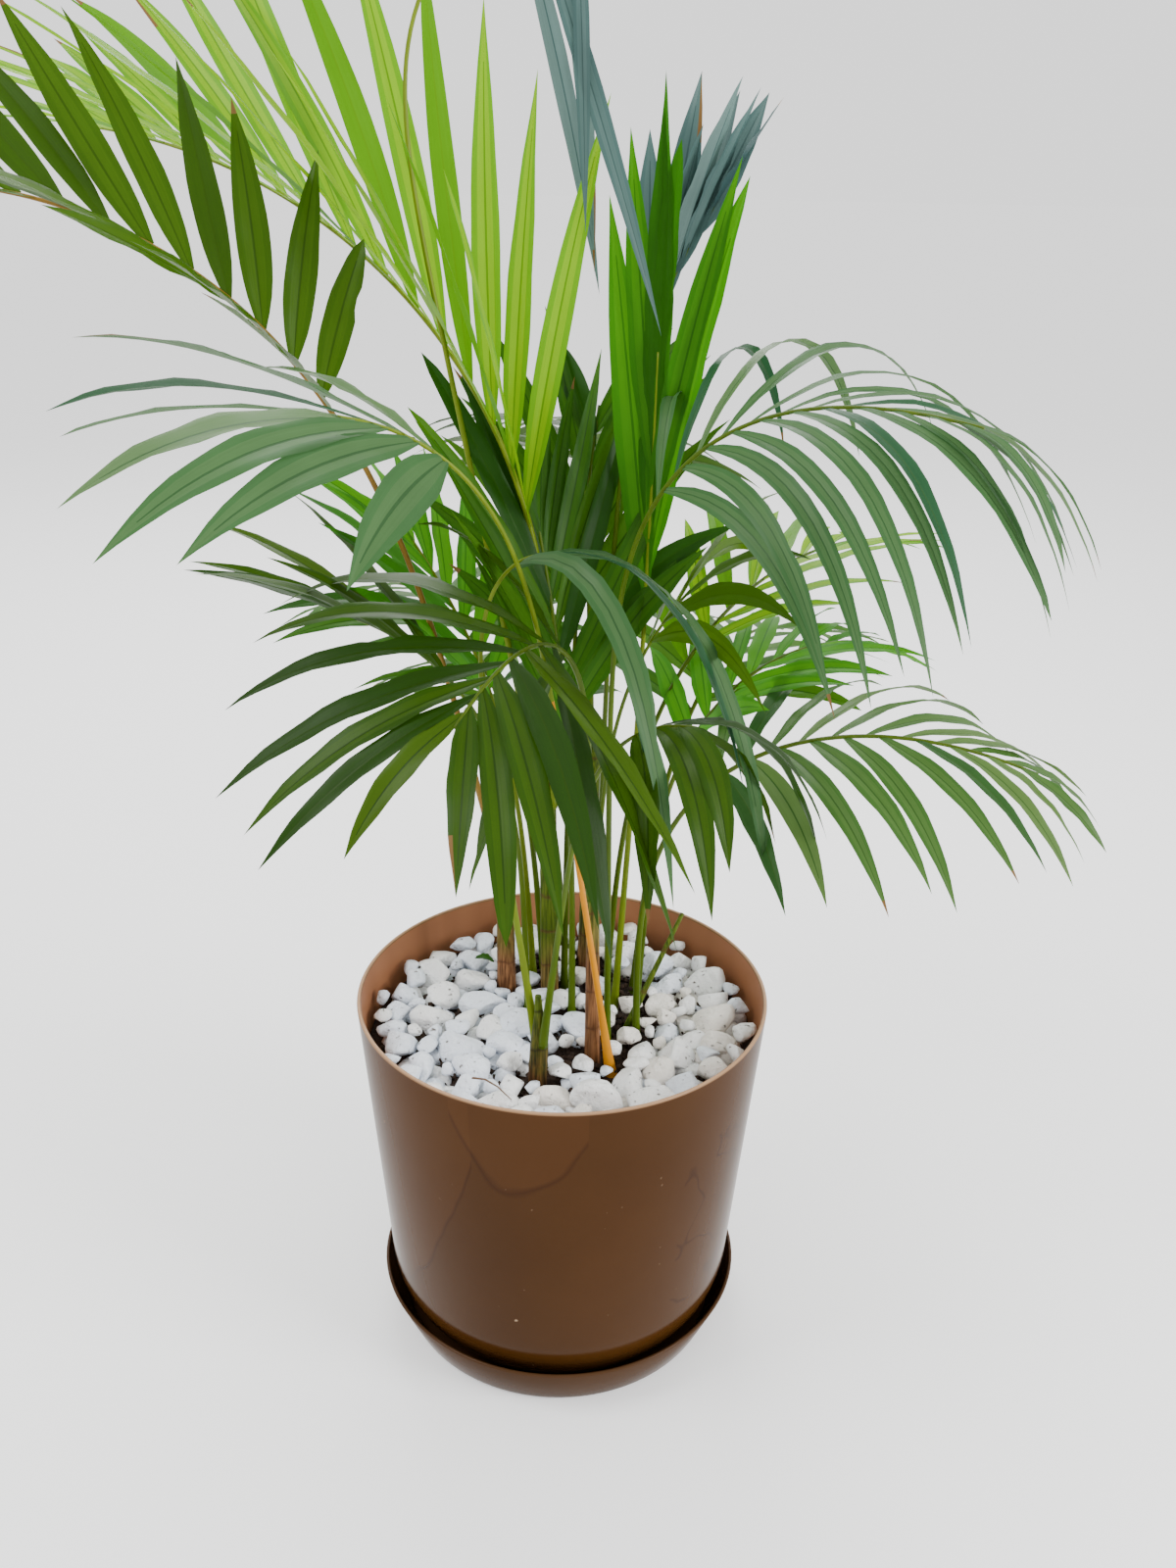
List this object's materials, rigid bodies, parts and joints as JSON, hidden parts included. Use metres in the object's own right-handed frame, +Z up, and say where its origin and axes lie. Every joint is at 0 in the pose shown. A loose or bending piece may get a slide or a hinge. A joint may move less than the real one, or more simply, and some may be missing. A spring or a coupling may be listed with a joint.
{
  "type": "potted areca palm",
  "caption": "Young areca palm in a tapered round plastic pot on its saucer: a clump of canes with arching feather fronds over white pebbles.",
  "frame": {"origin": "centre of the saucer's flat underside", "axes": "+Z up, +Y towards the back of the plant, +X to the right as seen from the front"},
  "size_m": [0.8094, 0.6403, 0.865],
  "materials": {
    "pot_plastic": "glossy moulded coffee brown, with a few dried drip marks",
    "peat": "matte dark brown crumbs",
    "pebbles": "matte white marble, rounded",
    "canes": "satin green to brown leaf sheaths",
    "leaves": "satin green leaf"
  },
  "bodies": {
    "root": {"saucer": "pot_plastic", "pot": "pot_plastic", "soil": "peat", "pebbles": "pebbles", "cane_left": "canes", "cane_front": "canes", "cane_middle": "canes", "cane_dark": "canes", "cane_back": "canes", "petiole_stub": "canes", "frond_left_high": "leaves", "frond_left_tall": "leaves", "frond_back_top": "leaves", "frond_right_top": "leaves", "frond_centre_bright": "leaves", "frond_right_arch": "leaves", "frond_right_low": "leaves", "frond_left_pale": "leaves", "frond_left_fan": "leaves", "frond_front_arch": "leaves", "frond_front_right": "leaves", "frond_mid_left": "leaves", "frond_mid_right": "leaves", "frond_right_back": "leaves", "frond_centre_dark": "leaves", "frond_inner_right": "leaves", "frond_inner_left": "leaves", "frond_inner_back": "leaves", "frond_back_left": "leaves", "frond_back_right": "leaves", "frond_back_arch": "leaves", "frond_back_low": "leaves"}
  },
  "joints": []
}
